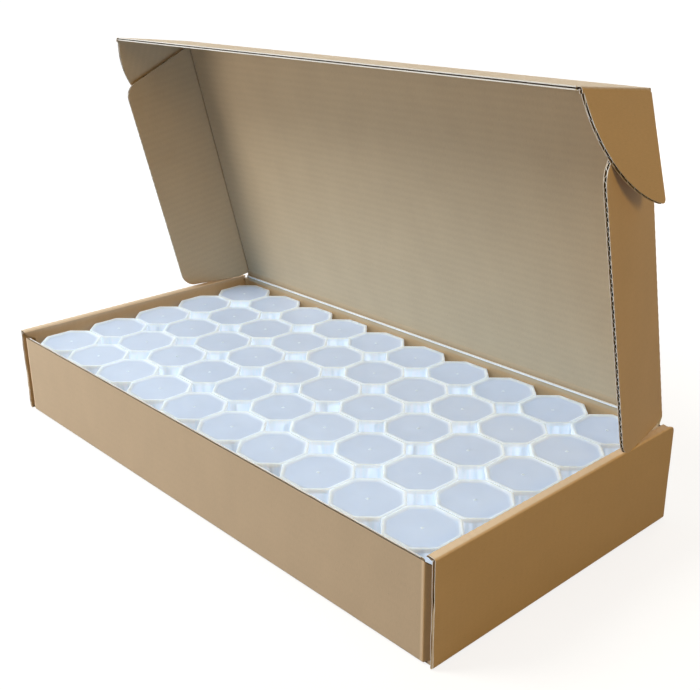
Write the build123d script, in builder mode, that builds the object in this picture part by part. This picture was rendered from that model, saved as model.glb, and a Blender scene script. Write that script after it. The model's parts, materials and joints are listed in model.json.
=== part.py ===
from build123d import *
import os
from math import cos, radians, sin, sqrt, tan

# A folded corrugated carton, its lid standing open, filled with fifty octagonal coin tubes and their caps.
# Millimetres. The origin is the middle of the carton's underside, +X runs along its length to the right,
# -Y faces its front wall and +Y its hinge.

# Corrugated board
board = 2.2
fold_share = 0.8
fold_gap = 0.15
board_play = 0.15

# Coins that a tube takes
coin_diameter = 38.1
coin_thickness = 2.9
coins_per_tube = 20
coin_clearance = 0.35
stack_headroom = 0.6

# Tube: a square with cut corners, whose diagonal flats stand further out than its straight ones
tube_wall = 1.1
tube_floor = 1.2
diagonal_extra = 1.06

# Cap: a flange with a raised rim round a sunk panel, over a set-back skirt
cap_fit = 0.15
cap_skirt_wall = 0.85
cap_overhang = 0.7
cap_panel = 1.2
cap_rim_height = 1.0
cap_rim_width = 1.4
cap_flange_height = 3.0
cap_skirt_height = 8.0
nub_half_width = 0.7
nub_height = 0.3

# How the tubes stand in the tray
columns = 10
rows = 5
cap_gap = 0.6
back_gap = 0.1
tuck_play = 0.2
end_gap = 1.2
flap_play = 0.25

# Tray walls
lid_headroom = 6.8
front_drop = 5.0
end_corner_radius = 7.0
corner_flap_length = 62.0
corner_flap_drop = 3.0
lock_tab_width = 38.0
lock_tab_spacing = 112.0

# Lid and its flaps, as they stand open
lid_lean = 13.7
tuck_raise = 19.6
tuck_floor_gap = 2.15
flap_splay = 12.0
flap_floor_gap = 4.4
flap_rim_gap = 2.0
flap_top_gap = 4.3
flap_top_drop = 18.0
flap_corner_radius = 13.0
ear_splay = 18.5
ear_depth = 61.0
ear_top_gap = 0.6
ear_bulge = 10.0
ear_corner_radius = 5.0

# Outer radius of a fold in the board
fold_radius = fold_share * board

# Tube and cap sizes
bore_half = coin_diameter / 2 + coin_clearance
tube_half = bore_half + tube_wall
cavity_half = tube_half + cap_fit
skirt_half = cavity_half + cap_skirt_wall
cap_half = skirt_half + cap_overhang
recess_half = cap_half - cap_rim_width
tube_height = tube_floor + coins_per_tube * coin_thickness + stack_headroom
pitch = 2 * cap_half + cap_gap

# Levels above the table
tube_top = board + tube_height
panel_top = tube_top + cap_panel
rim_top = panel_top + cap_rim_height
flange_bottom = rim_top - cap_flange_height
skirt_bottom = flange_bottom - cap_skirt_height
end_height = rim_top + lid_headroom
front_height = end_height - front_drop
strip_bottom = end_height - board

# Tray across its width: wall, slot for the tuck flap, five rows of caps, wall
rows_span = (rows - 1) * pitch + 2 * cap_half
tuck_slot = board + 2 * tuck_play
inner_half_width = (rows_span + back_gap + tuck_slot) / 2
half_width = inner_half_width + board
row_centre = inner_half_width - back_gap - rows_span / 2

# Tray along its length: caps, dust flap, ear, inner end panel, corner flap, outer end panel
caps_end = (columns - 1) / 2 * pitch + cap_half
flap_outer = caps_end + end_gap + board
ear_outer = flap_outer + flap_play + board
inner_face = ear_outer + flap_play
corner_face = inner_face + board + board_play
fold_end = corner_face + board
end_face = fold_end + board_play
half_length = end_face + board

# The lid turns about a line just outside the back wall's top edge
hinge_y = half_width + fold_gap
hinge_z = end_height + fold_gap
lid_depth = hinge_y + inner_half_width - tuck_play
tuck_depth = hinge_z - board - tuck_floor_gap
flap_depth = hinge_z - board - flap_floor_gap

along = Vector(1, 0, 0)
lid_up = Vector(0, -sin(radians(lid_lean)), cos(radians(lid_lean)))
lid_in = Vector(0, -cos(radians(lid_lean)), -sin(radians(lid_lean)))
tuck_out = lid_in * cos(radians(tuck_raise)) + lid_up * sin(radians(tuck_raise))
tuck_in = lid_in * sin(radians(tuck_raise)) - lid_up * cos(radians(tuck_raise))
hinge = Vector(0, hinge_y, hinge_z)
tuck_crease = hinge + lid_up * lid_depth

sides = {"right": 1, "left": -1}
walls = {"front": -1, "back": 1}


def octagon(half_width):
    """Corners of a square with cut corners, from the middle to its straight flats."""
    half_flat = (half_width + diagonal_extra) * sqrt(2) - half_width
    quarter = [(half_width, half_flat), (half_flat, half_width)]
    right = [(x, -y) for x, y in reversed(quarter)] + quarter
    left = [(-x, y) for x, y in reversed(right)]
    return right + left


def spot(column, row):
    """Middle of the tube in that column, from the left, and row, from the front, both counted from 1."""
    return ((column - (columns + 1) / 2) * pitch, row_centre + (row - (rows + 1) / 2) * pitch)


def save(piece, name):
    """Label a finished piece and write it."""
    piece.part.label = name
    export_step(piece.part, f"parts/{name}.step")


def make_tubes(name, spots):
    """Open octagonal tubes standing on the tray's floor."""
    with BuildPart() as tubes:
        with BuildSketch(Plane.XY.offset(board)):
            with Locations(*spots):
                Polygon(*octagon(tube_half), align=None)
        extrude(amount=tube_height)
        with BuildSketch(Plane.XY.offset(board + tube_floor)):
            with Locations(*spots):
                Polygon(*octagon(bore_half), align=None)
        extrude(amount=tube_height - tube_floor, mode=Mode.SUBTRACT)
    save(tubes, name)


def make_caps(name, spots):
    """Caps on the tubes: flange, skirt, the cavity that the tube fits in, the sunk panel and its nub."""
    with BuildPart() as caps:
        with BuildSketch(Plane.XY.offset(flange_bottom)):
            with Locations(*spots):
                Polygon(*octagon(cap_half), align=None)
        extrude(amount=cap_flange_height)
        with BuildSketch(Plane.XY.offset(skirt_bottom)):
            with Locations(*spots):
                Polygon(*octagon(skirt_half), align=None)
        extrude(amount=cap_skirt_height)
        with BuildSketch(Plane.XY.offset(skirt_bottom)):
            with Locations(*spots):
                Polygon(*octagon(cavity_half), align=None)
        extrude(amount=tube_top - skirt_bottom, mode=Mode.SUBTRACT)
        with BuildSketch(Plane.XY.offset(panel_top)):
            with Locations(*spots):
                Polygon(*octagon(recess_half), align=None)
        extrude(amount=cap_rim_height, mode=Mode.SUBTRACT)
        with BuildSketch(Plane.XY.offset(panel_top)):
            with Locations(*spots):
                Rectangle(2 * nub_half_width, 2 * nub_half_width)
        extrude(amount=nub_height)
    save(caps, name)


os.makedirs("parts", exist_ok=True)

# Tray floor, with a slot for each lock tab of the inner end panels
tab_middle = inner_face + board / 2
tab_spots = [(sign * tab_middle, y) for sign in sides.values() for y in (-lock_tab_spacing / 2, lock_tab_spacing / 2)]
with BuildPart() as bottom_panel:
    with BuildSketch(Plane.XY):
        Rectangle(2 * end_face, 2 * inner_half_width)
        with Locations(*tab_spots):
            Rectangle(board + 2 * fold_gap, lock_tab_width + 2 * fold_gap, mode=Mode.SUBTRACT)
    extrude(amount=board)
save(bottom_panel, "bottom_panel")

# Front and back walls, each with a corner flap folded back at both ends
for wall, sign in walls.items():
    wall_height = front_height if wall == "front" else end_height
    with BuildPart() as wall_panel:
        with BuildSketch(Plane.XZ.offset(-sign * half_width)):
            with Locations((0, wall_height / 2)):
                Rectangle(2 * fold_end, wall_height)
        extrude(amount=sign * board)
        outer_face = wall_panel.faces().sort_by(Axis.Y)[-1 if sign > 0 else 0]
        folds = outer_face.edges().filter_by(Axis.Z) + outer_face.edges().filter_by(Axis.X).sort_by(Axis.Z)[:1]
        fillet(folds, radius=fold_radius)
    save(wall_panel, f"{wall}_panel")
    flap_height = front_height - corner_flap_drop - board
    for side, end in sides.items():
        with BuildPart() as corner_flap:
            with BuildSketch(Plane.YZ.offset(end * corner_face)):
                with Locations((sign * (inner_half_width - corner_flap_length / 2), board + flap_height / 2)):
                    corner = Rectangle(corner_flap_length, flap_height)
                free_end = corner.vertices().group_by(Axis.X)[0 if sign > 0 else -1]
                fillet(free_end, radius=end_corner_radius)
            extrude(amount=end * board)
        save(corner_flap, f"corner_flap_{wall}_{side}")

# End walls: the outer panel stands up from the floor, the strip rolls over its top and the inner panel
# hangs from the strip, with tabs that lock in the floor's slots
for side, sign in sides.items():
    with BuildPart() as end_panel:
        with BuildSketch(Plane.YZ.offset(sign * end_face)):
            with Locations((0, strip_bottom / 2)):
                outline = Rectangle(2 * half_width, strip_bottom)
            fillet(outline.vertices().sort_by(Axis.X)[-2:].sort_by(Axis.Y)[-1], radius=end_corner_radius)
        extrude(amount=sign * board)
        fillet(end_panel.edges().filter_by(Axis.Y).group_by(Axis.Z)[0].sort_by(Axis.X)[-1 if sign > 0 else 0],
               radius=fold_radius)
    save(end_panel, f"end_panel_{side}")

    strip_end = half_width - end_corner_radius
    with BuildPart() as rim_strip:
        with BuildSketch(Plane.XY.offset(strip_bottom)):
            with Locations((sign * (inner_face + half_length) / 2, (strip_end - half_width) / 2)):
                Rectangle(half_length - inner_face, half_width + strip_end)
        extrude(amount=board)
        fillet(rim_strip.edges().filter_by(Axis.Y).group_by(Axis.Z)[-1], radius=fold_radius)
    save(rim_strip, f"rim_strip_{side}")

    inner_panel_half = inner_half_width - fold_gap
    with BuildPart() as inner_panel:
        with BuildSketch(Plane.YZ.offset(sign * inner_face)):
            with Locations((0, (board + strip_bottom) / 2)):
                Rectangle(2 * inner_panel_half, strip_bottom - board)
            with Locations((-lock_tab_spacing / 2, board / 2), (lock_tab_spacing / 2, board / 2)):
                Rectangle(lock_tab_width, board)
        extrude(amount=sign * board)
    save(inner_panel, f"inner_panel_{side}")

# Lid, drawn on the plane of its hinge line with its inner face just outside it
lid_plane = Plane(origin=hinge, x_dir=along, z_dir=lid_in)
with BuildPart() as lid_panel:
    with BuildSketch(lid_plane.offset(-fold_gap)):
        with Locations((0, (fold_gap + lid_depth) / 2)):
            Rectangle(2 * ear_outer, lid_depth - fold_gap)
    extrude(amount=-board)
save(lid_panel, "lid_panel")

# Tuck flap along the lid's free edge
tuck_plane = Plane(origin=tuck_crease, x_dir=along, z_dir=tuck_in)
with BuildPart() as tuck_flap:
    with BuildSketch(tuck_plane):
        with Locations((0, (fold_gap + tuck_depth) / 2)):
            Rectangle(2 * ear_outer, tuck_depth - fold_gap)
    extrude(amount=board)
save(tuck_flap, "tuck_flap")

# Dust flaps on the lid's ends, splayed, with the lower edge cut level, and ears on the tuck flap's ends
flap_rise = flap_depth * cos(radians(flap_splay)) * tan(radians(lid_lean))
flap_top = lid_depth - flap_top_gap
for side, sign in sides.items():
    flap_out = lid_in * cos(radians(flap_splay)) + along * (sign * sin(radians(flap_splay)))
    flap_crease = hinge + along * (sign * flap_outer)
    flap_plane = Plane(origin=flap_crease, x_dir=lid_up, z_dir=lid_up.cross(flap_out))
    with BuildPart() as dust_flap:
        with BuildSketch(flap_plane):
            with BuildLine():
                Polyline(
                    (flap_rim_gap, fold_gap),
                    (flap_top, fold_gap),
                    (flap_top - flap_top_drop, flap_depth),
                    (flap_rim_gap + flap_rise, flap_depth),
                    close=True,
                )
            flap_face = make_face()
            fillet(flap_face.vertices().group_by(Axis.Y)[-1], radius=flap_corner_radius)
        extrude(amount=-sign * board)
    save(dust_flap, f"dust_flap_{side}")

    ear_down = tuck_in * cos(radians(ear_splay)) + along * (sign * sin(radians(ear_splay)))
    ear_crease = tuck_crease + along * (sign * ear_outer) + tuck_in * board
    ear_plane = Plane(origin=ear_crease, x_dir=tuck_out, z_dir=tuck_out.cross(ear_down))
    ear_middle = ((ear_top_gap + tuck_depth) / 2 + ear_bulge, ear_depth / 2 + ear_bulge)
    with BuildPart() as ear:
        with BuildSketch(ear_plane):
            with BuildLine():
                Polyline((ear_top_gap, ear_depth), (ear_top_gap, fold_gap), (tuck_depth, fold_gap))
                ThreePointArc((tuck_depth, fold_gap), ear_middle, (ear_top_gap, ear_depth))
            ear_face = make_face()
            fillet(ear_face.vertices().sort_by(Axis.Y)[-1], radius=ear_corner_radius)
        extrude(amount=-sign * board)
    save(ear, f"ear_{side}")

# Tubes and caps that lift out one by one: the front row and both end columns as far as the fourth row
loose = {f"front_{column}": spot(column, 1) for column in range(1, columns + 1)}
loose |= {f"left_{row}": spot(1, row) for row in range(2, rows)}
loose |= {f"right_{row}": spot(columns, row) for row in range(2, rows)}
for name, place in loose.items():
    make_tubes(f"tube_{name}", [place])
    make_caps(f"cap_{name}", [place])

# Tubes and caps between them, row by row, and the whole back row
for row in range(2, rows):
    middle_spots = [spot(column, row) for column in range(2, columns)]
    make_tubes(f"tubes_row_{row}", middle_spots)
    make_caps(f"caps_row_{row}", middle_spots)
back_spots = [spot(column, rows) for column in range(1, columns + 1)]
make_tubes("tubes_back_row", back_spots)
make_caps("caps_back_row", back_spots)
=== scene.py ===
import json
import math

import bmesh
import bpy
import numpy as np
from mathutils import Matrix, Vector


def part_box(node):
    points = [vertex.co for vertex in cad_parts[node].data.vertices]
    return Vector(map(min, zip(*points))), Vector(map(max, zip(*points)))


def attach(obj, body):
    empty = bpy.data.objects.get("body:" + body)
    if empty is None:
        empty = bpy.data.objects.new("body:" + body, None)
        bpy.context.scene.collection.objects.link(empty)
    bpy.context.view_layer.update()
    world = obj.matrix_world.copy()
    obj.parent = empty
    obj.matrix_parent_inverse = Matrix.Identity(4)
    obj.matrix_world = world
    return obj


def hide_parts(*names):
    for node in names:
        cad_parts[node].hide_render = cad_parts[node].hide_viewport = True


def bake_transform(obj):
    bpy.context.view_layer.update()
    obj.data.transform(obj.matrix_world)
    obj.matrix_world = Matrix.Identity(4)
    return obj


bl_info = {
    "name": "Boxed coin tubes",
    "version": (1, 0, 0),
    "blender": (4, 5, 0),
    "location": "View3D > Sidebar > Coin tubes",
    "description": "Dresses an open corrugated carton of capped coin tubes and sets its studio",
    "category": "Object",
}

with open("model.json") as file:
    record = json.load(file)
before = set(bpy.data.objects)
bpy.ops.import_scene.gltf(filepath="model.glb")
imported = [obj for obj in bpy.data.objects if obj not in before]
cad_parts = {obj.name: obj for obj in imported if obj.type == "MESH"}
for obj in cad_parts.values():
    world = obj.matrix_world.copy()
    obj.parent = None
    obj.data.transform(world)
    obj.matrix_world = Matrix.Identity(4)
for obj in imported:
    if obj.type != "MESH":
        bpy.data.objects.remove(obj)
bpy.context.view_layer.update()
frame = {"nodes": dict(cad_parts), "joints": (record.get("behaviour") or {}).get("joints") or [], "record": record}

# Lengths are worked out in millimetres and written to the meshes in metres.
MM = 0.001
SIDES = {"right": 1, "left": -1}
JOINTS = {joint["name"]: joint for joint in frame["joints"]}


def low(node):
    """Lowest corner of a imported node, in millimetres."""
    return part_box(node)[0] / MM


def high(node):
    """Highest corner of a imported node, in millimetres."""
    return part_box(node)[1] / MM


def joint_place(name):
    """A joint's place, in millimetres."""
    return Vector(JOINTS[name]["pos_m"]) / MM


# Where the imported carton's panels are, and how far apart its tubes stand
HALF_LENGTH = high("end_panel_right").x
HALF_WIDTH = high("end_panel_right").y
INNER_FACE = low("inner_panel_right").x
FLOOR_END = high("bottom_panel").x
END_HEIGHT = high("rim_strip_right").z
FRONT_HEIGHT = high("front_panel").z
FOLD_END = high("front_panel").x
CORNER_FLAP_END = high("corner_flap_front_right").y
CORNER_FLAP_TOP = high("corner_flap_front_right").z
BOARD = high("bottom_panel").z
INNER_HALF = high("bottom_panel").y
PITCH = high("cap_front_2").x - high("cap_front_1").x

# Where the lid's creases are, and which way the lid and the tuck flap lie
ALONG = Vector((1, 0, 0))
HINGE = joint_place("lid_hinge")
TUCK_CREASE = joint_place("tuck_crease")
LID_DEPTH = (TUCK_CREASE - HINGE).length
LID_UP = (TUCK_CREASE - HINGE).normalized()
LID_IN = ALONG.cross(LID_UP)
TUCK_OUT = Vector(JOINTS["ear_crease_right"]["axis"]).normalized()
TUCK_IN = ALONG.cross(TUCK_OUT)
TUCK_RAISE = TUCK_OUT.angle(LID_IN)
TUCK_DEPTH = (Vector((0.0, low("tuck_flap").y, high("tuck_flap").z)) - TUCK_CREASE).dot(TUCK_OUT)
FLAP_OUTER = joint_place("dust_crease_right").x
EAR_OUTER = joint_place("ear_crease_right").x


class CartonSizes(bpy.types.PropertyGroup):
    """Sizes of the carton's board, folds and flaps."""

    liner: bpy.props.FloatProperty(
        name="Liner", description="Thickness of each face paper", default=0.32 * MM, unit="LENGTH")
    paper: bpy.props.FloatProperty(
        name="Fluting paper", description="Thickness of the fluted paper", default=0.42 * MM, unit="LENGTH")
    flute_pitch: bpy.props.FloatProperty(
        name="Flute pitch", description="Distance from flute to flute", default=5.8 * MM, unit="LENGTH")
    fold_radius: bpy.props.FloatProperty(
        name="Fold radius", description="Outer radius of a folded edge", default=1.5 * MM, unit="LENGTH")
    crease_ripple: bpy.props.FloatProperty(
        name="Crease ripple", description="How far the liner sinks between flutes on a fold",
        default=0.22 * MM, unit="LENGTH")
    edge_wander: bpy.props.FloatProperty(
        name="Cut edge wander", description="How far a cut edge strays from a straight line",
        default=0.12 * MM, unit="LENGTH")
    lid_bow: bpy.props.FloatProperty(
        name="Lid bow", description="How far the lid's middle bows outwards", default=1.2 * MM, unit="LENGTH")
    corner_inset: bpy.props.FloatProperty(
        name="Corner inset", description="How far the front wall's folds stand in from the end walls",
        default=5.0 * MM, unit="LENGTH")
    flap_splay: bpy.props.FloatProperty(
        name="Dust flap splay", description="Angle of the dust flaps past square",
        default=math.radians(12.0), subtype="ANGLE")
    ear_splay: bpy.props.FloatProperty(
        name="Ear splay", description="Angle of the ears past square",
        default=math.radians(18.5), subtype="ANGLE")
    ear_bulge: bpy.props.FloatProperty(
        name="Ear bulge",
        description="How far the curved edge's middle is moved out of its chord along each axis",
        default=10.0 * MM, unit="LENGTH")


class TubeSizes(bpy.types.PropertyGroup):
    """Sizes of the tubes and caps."""

    wall: bpy.props.FloatProperty(
        name="Tube wall", description="Wall of a tube", default=1.1 * MM, unit="LENGTH")
    floor: bpy.props.FloatProperty(
        name="Tube floor", description="Floor of a tube", default=1.2 * MM, unit="LENGTH")
    diagonal: bpy.props.FloatProperty(
        name="Diagonal extra", description="How far the diagonal flats stand out past the straight ones",
        default=1.06 * MM, unit="LENGTH")
    corner: bpy.props.FloatProperty(
        name="Corner radius", description="Radius of the corners between the flats",
        default=2.2 * MM, unit="LENGTH")
    rim_width: bpy.props.FloatProperty(
        name="Rim width", description="Width of a cap's rim", default=1.5 * MM, unit="LENGTH")
    rim_slope: bpy.props.FloatProperty(
        name="Rim slope", description="Width of the slope from the rim down to the panel",
        default=1.5 * MM, unit="LENGTH")
    rim_height: bpy.props.FloatProperty(
        name="Rim height", description="Rim above the cap's panel", default=1.0 * MM, unit="LENGTH")
    flange: bpy.props.FloatProperty(
        name="Flange", description="Height of a cap's flange", default=3.0 * MM, unit="LENGTH")
    overhang: bpy.props.FloatProperty(
        name="Overhang", description="Flange past the cap's skirt", default=0.7 * MM, unit="LENGTH")
    skirt_wall: bpy.props.FloatProperty(
        name="Skirt wall", description="Wall of a cap's skirt", default=0.85 * MM, unit="LENGTH")
    panel: bpy.props.FloatProperty(
        name="Panel", description="Thickness of a cap's panel", default=1.2 * MM, unit="LENGTH")
    turn: bpy.props.FloatProperty(
        name="Turn", description="Most that a cap is turned on its tube",
        default=math.radians(0.5), subtype="ANGLE")


class Finishes(bpy.types.PropertyGroup):
    """Colours of the board, the plastic and the studio."""

    board_outside: bpy.props.FloatVectorProperty(
        name="Board outside", description="Outer liner", default=(0.60, 0.43, 0.272), subtype="COLOR")
    board_inside: bpy.props.FloatVectorProperty(
        name="Board inside", description="Inner liner", default=(0.525, 0.362, 0.202), subtype="COLOR")
    board_cut: bpy.props.FloatVectorProperty(
        name="Board cut edge", description="Torn fibres on a cut edge",
        default=(0.90, 0.83, 0.73), subtype="COLOR")
    # The fluted paper is painted near black, as painted shade of the hollows between the flutes
    board_flutes: bpy.props.FloatVectorProperty(
        name="Board flutes", description="Fluted paper", default=(0.07, 0.045, 0.032), subtype="COLOR")
    plastic: bpy.props.FloatVectorProperty(
        name="Plastic", description="Frosted plastic", default=(0.605, 0.652, 0.785), subtype="COLOR")
    # Thick plastic is painted paler, as painted light scattered in it
    plastic_rim: bpy.props.FloatVectorProperty(
        name="Plastic rims", description="Frosted plastic where it is thick",
        default=(0.84, 0.91, 0.99), subtype="COLOR")
    studio: bpy.props.FloatVectorProperty(
        name="Studio", description="Floor of the studio", default=(0.26, 0.235, 0.20), subtype="COLOR")


class Millimetres:
    """Reads a set of properties: its lengths in millimetres, the rest as they are."""

    def __init__(self, properties):
        self.properties = properties

    def __getattr__(self, name):
        value = getattr(self.properties, name)
        if self.properties.bl_rna.properties[name].unit == "LENGTH":
            return value / MM
        return value


def carton():
    """The carton's sizes."""
    return Millimetres(bpy.context.scene.coin_carton)


def tubes():
    """The tubes' and caps' sizes."""
    return Millimetres(bpy.context.scene.coin_tubes)


def finishes():
    """The colours of all materials."""
    return bpy.context.scene.coin_finishes


# Nodes

# Places of the sockets that a Mix node uses for colours
MIX_FACTOR, MIX_FIRST, MIX_SECOND = 0, 6, 7
MIX_RESULT = 2


def feed(tree, node, inputs):
    """Give a node's inputs, by name or place, a link from another node's output or a value of their own."""
    for key, value in inputs.items():
        if isinstance(value, bpy.types.NodeSocket):
            tree.links.new(value, node.inputs[key])
        else:
            node.inputs[key].default_value = value


def add_node(tree, kind, inputs=None, **properties):
    """A new node with its properties set and its inputs fed."""
    node = tree.nodes.new(kind)
    for name, value in properties.items():
        setattr(node, name, value)
    feed(tree, node, inputs or {})
    return node


def math_node(tree, operation, *operands):
    """A Math node's output; the operands are sockets or numbers."""
    return add_node(tree, "ShaderNodeMath", dict(enumerate(operands)), operation=operation).outputs[0]


def plus(tree, first, second):
    """Sum of two sockets or numbers."""
    return math_node(tree, "ADD", first, second)


def minus(tree, first, second):
    """Difference of two sockets or numbers."""
    return math_node(tree, "SUBTRACT", first, second)


def times(tree, first, second):
    """Product of two sockets or numbers."""
    return math_node(tree, "MULTIPLY", first, second)


def noise_node(tree, vector, scale=1.0, detail=2.0, roughness=0.5):
    """A noise texture's value over a vector."""
    inputs = {"Vector": vector, "Scale": scale, "Detail": detail, "Roughness": roughness}
    return add_node(tree, "ShaderNodeTexNoise", inputs).outputs["Fac"]


def stretch_node(tree, vector, scale):
    """The vector scaled along each of its axes."""
    return add_node(tree, "ShaderNodeVectorMath", {0: vector, 1: scale}, operation="MULTIPLY").outputs[0]


def mix_node(tree, factor, first, second, blend="MIX"):
    """A colour Mix node's output; the factor and the colours are sockets or values."""
    inputs = {MIX_FACTOR: factor, MIX_FIRST: first, MIX_SECOND: second}
    node = add_node(tree, "ShaderNodeMix", inputs, data_type="RGBA", blend_type=blend)
    return node.outputs[MIX_RESULT]


def grey_node(tree, level):
    """A grey of a level that changes over the surface."""
    return add_node(tree, "ShaderNodeCombineColor", {0: level, 1: level, 2: level}).outputs[0]


def attribute_node(tree, name):
    """A node that reads an attribute of the piece."""
    return add_node(tree, "ShaderNodeAttribute", attribute_name=name)


def bump_node(tree, height, strength):
    """Normals that follow a height in tenths of a millimetre."""
    inputs = {"Height": height, "Strength": strength, "Distance": 0.1 * MM}
    return add_node(tree, "ShaderNodeBump", inputs).outputs["Normal"]


def seen_node(tree):
    """1 for camera, glossy and transmission rays, 0 for the rest."""
    path = add_node(tree, "ShaderNodeLightPath").outputs
    direct = math_node(tree, "MAXIMUM", path["Is Camera Ray"], path["Is Glossy Ray"])
    return math_node(tree, "MAXIMUM", direct, path["Is Transmission Ray"])


def new_group(name, kind, inputs, outputs):
    """An empty node group, the sockets that bring its inputs in, and its output node."""
    group = bpy.data.node_groups.new(name, kind)
    for socket, socket_kind, value in inputs:
        made = group.interface.new_socket(socket, in_out="INPUT", socket_type=f"NodeSocket{socket_kind}")
        if value is not None:
            made.default_value = value
    for socket, socket_kind in outputs:
        group.interface.new_socket(socket, in_out="OUTPUT", socket_type=f"NodeSocket{socket_kind}")
    given = group.nodes.new("NodeGroupInput").outputs
    return group, given, group.nodes.new("NodeGroupOutput")


def new_material(name):
    """A new material, its node tree and its shader."""
    material = bpy.data.materials.new(name)
    material.use_nodes = True
    return material, material.node_tree, material.node_tree.nodes["Principled BSDF"]


# Materials

# The four materials of a board, by their place on its mesh
# The fluted core's material is near black, painted shade of the hollows between its flutes
OUTSIDE, INSIDE, SHADED_FLUTES, CUT = range(4)

# Kraft paper: its dark specks, how much specks and the painted shade of creases darken it, its relief and its
# roughness
SPECK_SCALE = 0.16
SPECK_RADIUS = 0.075
SPECK_SHADE = 0.10
CREASE_SHADE = 0.45
WAVE_RELIEF = 0.15
FIBRE_RELIEF = 0.35
GRIT_RELIEF = 0.2
KRAFT_ROUGHNESS = 0.62
FIBRE_ROUGHNESS = 0.22

# Frosted plastic: scale and contrast of the streaks in its painted glow, scales of its clouds and frost, its
# roughness, and the tint of the painted glow that stands in for the light that comes through it
STREAK_SCALE = 330.0
STREAK_CONTRAST = 1.3
CLOUD_SCALE = 45.0
FROST_SCALE = 1400.0
PLASTIC_ROUGHNESS = 0.33
CLOUD_ROUGHNESS = 0.16
LIGHT_THROUGH = (0.80, 0.89, 0.97, 1.0)


def kraft_group():
    """Kraft paper over board coordinates in millimetres: X across the flutes, Y along them."""
    name = "Kraft paper"
    if name in bpy.data.node_groups:
        return bpy.data.node_groups[name]
    group, given, out = new_group(
        name, "ShaderNodeTree",
        [("Board", "Vector", None), ("Paper", "Color", None), ("Flute pitch", "Float", 5.8),
         ("Washboard", "Float", 0.06), ("Mottle", "Float", 0.25), ("Fibre", "Float", 0.3),
         ("Crease", "Float", 0.0)],
        [("Color", "Color"), ("Height", "Float"), ("Roughness", "Float")])
    board = given["Board"]
    across = add_node(group, "ShaderNodeSeparateXYZ", {0: board}).outputs["X"]
    turns = math_node(group, "DIVIDE", across, given["Flute pitch"])
    wave = math_node(group, "SINE", times(group, turns, 2 * math.pi))
    cloud = noise_node(group, stretch_node(group, board, (0.02, 0.035, 0.02)), detail=3.0, roughness=0.55)
    fibre = noise_node(group, stretch_node(group, board, (0.35, 1.3, 0.5)), detail=4.0, roughness=0.7)
    grit = noise_node(group, stretch_node(group, board, (1.6, 1.9, 1.6)), roughness=0.6)
    cells = add_node(group, "ShaderNodeTexVoronoi",
                     {"Vector": stretch_node(group, board, (1.0, 1.6, 1.0)), "Scale": SPECK_SCALE})
    speck = math_node(group, "LESS_THAN", cells.outputs["Distance"], SPECK_RADIUS)

    shade = times(group, minus(group, cloud, 0.5), given["Mottle"])
    hair = times(group, minus(group, fibre, 0.5), given["Fibre"])
    line = times(group, wave, given["Washboard"])
    level = plus(group, plus(group, plus(group, shade, hair), line), 1.0)
    level = minus(group, level, times(group, speck, SPECK_SHADE))
    # Painted shade darkens folds where the crease mask is above zero; below zero a painted highlight lightens them
    level = minus(group, level, times(group, given["Crease"], CREASE_SHADE))
    rough = plus(group, times(group, fibre, FIBRE_RELIEF), times(group, grit, GRIT_RELIEF))
    feed(group, out, {
        "Color": mix_node(group, 1.0, given["Paper"], grey_node(group, level), "MULTIPLY"),
        "Height": plus(group, times(group, wave, WAVE_RELIEF), rough),
        "Roughness": plus(group, KRAFT_ROUGHNESS, times(group, fibre, FIBRE_ROUGHNESS)),
    })
    return group


def kraft_material(name, colour, washboard=0.0, mottle=0.14, fibre=0.22, from_attribute=True):
    """Kraft board whose grain follows the board's own coordinates, or Object coordinates."""
    if name in bpy.data.materials:
        return bpy.data.materials[name]
    material, tree, shader = new_material(name)
    inputs = {
        "Paper": (*colour, 1.0), "Flute pitch": carton().flute_pitch,
        "Washboard": washboard, "Mottle": mottle, "Fibre": fibre,
    }
    if from_attribute:
        inputs["Board"] = attribute_node(tree, "sheet").outputs["Vector"]
        # The crease mask carries painted shade in folds and, below zero, painted highlight on them
        inputs["Crease"] = attribute_node(tree, "crease").outputs["Fac"]
    else:
        place = add_node(tree, "ShaderNodeTexCoord").outputs["Object"]
        inputs["Board"] = stretch_node(tree, place, (1 / MM, 1 / MM, 1 / MM))
    grain = add_node(tree, "ShaderNodeGroup", inputs, node_tree=kraft_group())
    feed(tree, shader, {
        "Base Color": grain.outputs["Color"],
        "Roughness": grain.outputs["Roughness"],
        "Normal": bump_node(tree, grain.outputs["Height"], strength=0.35),
        "Specular IOR Level": 0.28,
        "Sheen Weight": 0.35,
        "Sheen Roughness": 0.3,
    })
    return material


def board_materials():
    """Materials of a board: outer liner, inner liner, fluted paper and cut edge."""
    look = finishes()
    return [
        kraft_material("kraft_outside", look.board_outside, washboard=0.004),
        kraft_material("kraft_inside", look.board_inside, washboard=0.014),
        kraft_material("kraft_flutes", look.board_flutes, mottle=0.15, fibre=0.35),
        kraft_material("kraft_cut_edge", look.board_cut, mottle=0.2, fibre=0.5),
    ]


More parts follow.
